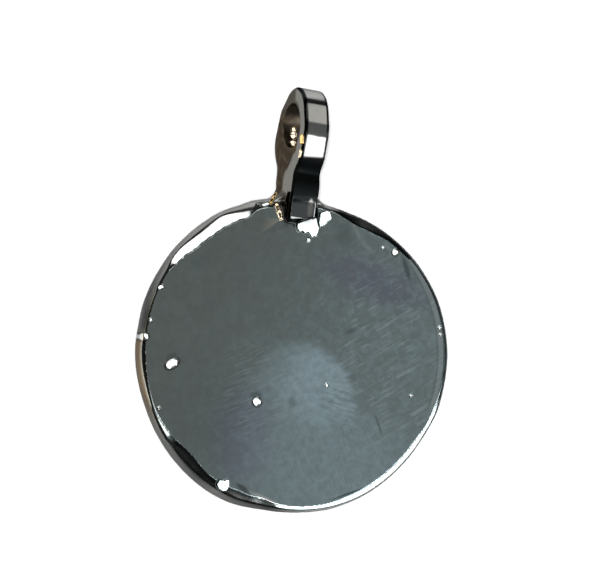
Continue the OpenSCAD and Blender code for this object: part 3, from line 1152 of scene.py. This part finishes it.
def stretches(rows, degrees):
    """For each row of DARK_FACETS or BURR_LINES, how dark it is at the angles given."""
    return [within(degrees, *row[:-1]) * row[-1] for row in rows]


def near_bail(x, y):
    return ease(np.abs(x), 2.8, 2.3) * ease(y, 6.6, 7.0)


def outside_rim(x, y):
    """1 on the part of the bail that stands out past the rim."""
    return np.clip((np.hypot(x, y) - DISC_R + 0.1) / 0.1, 0, 1) * near_bail(x, y)


def on_web(x, y, z):
    """1 where the neck flares out into the rim."""
    return outside_rim(x, y) * np.clip((3.55 - z) / 0.1, 0, 1) * np.clip((LOOP_Y - y) / 0.1, 0, 1)


def off_solder(x, y, z):
    return ease(solder_distance(x, y, z), 0.0, 0.03)


def ball_marks(x, y, z):
    """Seams and five-sided panels, on the front alone."""
    front = np.clip((DOME_H + 0.15 - z) / 0.1, 0, 1) * np.clip((BALL_R + 0.2 - np.hypot(x, y)) / 0.1, 0, 1)
    return {
        "seam": np.clip(1.6 - seam_distance(x, y) / SEAM_HALF, 0, 1) * front,
        "five": np.clip(0.5 - five_distance(x, y) / 0.1, 0, 1) * front,
    }


def rim_marks(x, y, z):
    """Painted shade on the rim's wall, its worn facets and the burr along them, and a painted warm
    reflection on the wall.
    """
    r, angle = np.hypot(x, y), np.arctan2(y, x)
    degrees = np.degrees(angle) % 360
    edge, rounding, facet_r = rim_profile(angle)
    reach = 1.05 - 0.55 * ease(np.abs(degrees - 190), 17, 13)
    wall = ease(r, edge - reach * rounding, edge - (reach - 0.2) * rounding) * (z > DOME_H - 0.05)
    wall = wall * (1 - on_web(x, y, z)) * (bail_distance(x, y, z) > 0.03)
    at_foot, at_top, warm_reflection = (wall_shade_at(column, angle) for column in (DARK_FOOT, DARK_TOP, WALL_WARM_REFLECTION))
    wall_shade = at_foot + (at_top - at_foot) * ease(z, WALL_FOOT, WALL_TOP)
    facet_end = edge - rounding
    on_facet = within(r, facet_r - 0.03, facet_r + 0.04, facet_end - 0.02, facet_end + 0.1)
    # Painted shade on stretches of the facets and along the burr
    dark_facet = np.max(stretches(DARK_FACETS, degrees), axis=0) * on_facet * (z > BACK_Z - 0.5)
    at_burr = within(r - burr_r(angle), -0.05, -0.02, 0.03, 0.05) * (z > BACK_Z - 0.2)
    burr_line = sum(stretches(BURR_LINES, degrees)) * at_burr
    return {
        "dark": np.maximum(wall * wall_shade, np.maximum(dark_facet, burr_line) * off_solder(x, y, z)),
        "tan": wall * warm_reflection,
    }


def bail_marks(x, y, z):
    """The bail's face, its edges and the crease round its foot, where shade is painted, and its left side,
    eye and strip, where reflections are painted.
    """
    across, along, up = in_bail(x, y, z)
    eye_y, eye_z, eye_r = placed(EYE)
    from_eye = np.hypot(along - eye_y, up - eye_z)
    depth = -bail_outline(along, up)
    inward = across + band_left(along)
    past_rim = outside_rim(x, y)
    left = ease(inward, 0.06, 0.02) * past_rim
    right = ease(across, BAND_W / 2 - 0.19, BAND_W / 2 - 0.15) * past_rim
    left_edge = ease(inward + depth, 0.24, 0.18) * ease(inward, 0.0, 0.02) * past_rim
    margin = 0.13 * ease(y, 8.5, 8.1)
    face = ease(across, BAND_W / 2 - margin + 0.05, BAND_W / 2 - margin) * (y > FOOT_Y - 0.15)
    face = face * ease(up, BACK_Z + 0.02, BACK_Z + 0.04 + margin)
    face = face * ease(inward, 0.01 + margin, 0.05 + margin) * ease(depth, 0.2, 0.1)
    low_neck = ease(along, 10.2, 9.2)
    strip_low = 3.3 - 0.7 * low_neck
    in_strip = ease(from_eye, eye_r + 0.04, eye_r + 0.12) * ease(up, strip_low, strip_low + 0.3)
    in_strip = in_strip * ease(depth, 0.78 + 0.4 * low_neck, 0.62 + 0.4 * low_neck)
    crease = ease(bail_distance(x, y, z), 0.16, 0.09) * (np.hypot(x, y) < DISC_R + 0.2)
    return {
        "bail": np.clip((np.hypot(x, y) - DISC_R) / 0.2, 0, 1) * near_bail(x, y),
        "face": face,
        "edge": np.maximum(left_edge, right),
        "side": np.maximum(left, on_web(x, y, z) * ease(across, 0.2, 0.0)),
        "strip": left * in_strip,
        "inside": ease(from_eye, eye_r + 0.06, eye_r + 0.02) * (np.abs(across) < BAND_W / 2),
        "foot": crease * (z > BACK_Z - 0.03) * off_solder(x, y, z),
    }


def bead_marks(x, y, z):
    """Where the cream and the gold beads are."""
    sets = (("cream_bead", CREAM_BEADS), ("gold_bead", GOLD_BEADS))
    return {name: np.clip((0.05 - bead_distance(x, y, z, beads)) / 0.03, 0, 1) for name, beads in sets}


def paint(piece):
    """Marks parts of the surface for the material, each with an attribute."""
    x, y, z = mesh_points(piece.data).T
    for marks in (ball_marks, rim_marks, bail_marks, bead_marks):
        for name, values in marks(x, y, z).items():
            layer = piece.data.attributes.new(name, "FLOAT", "POINT")
            layer.data.foreach_set("value", values.astype(np.float32))


pendant = make_pendant()
paint(pendant)
pendant.data.materials.clear()
pendant.data.materials.append(metal_material())
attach(pendant, "root")
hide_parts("pendant")

make_camera()
make_floor()
make_world()
for card in CARDS:
    make_card(*card)
make_floor_light()
bpy.context.scene.view_settings.view_transform = "Standard"
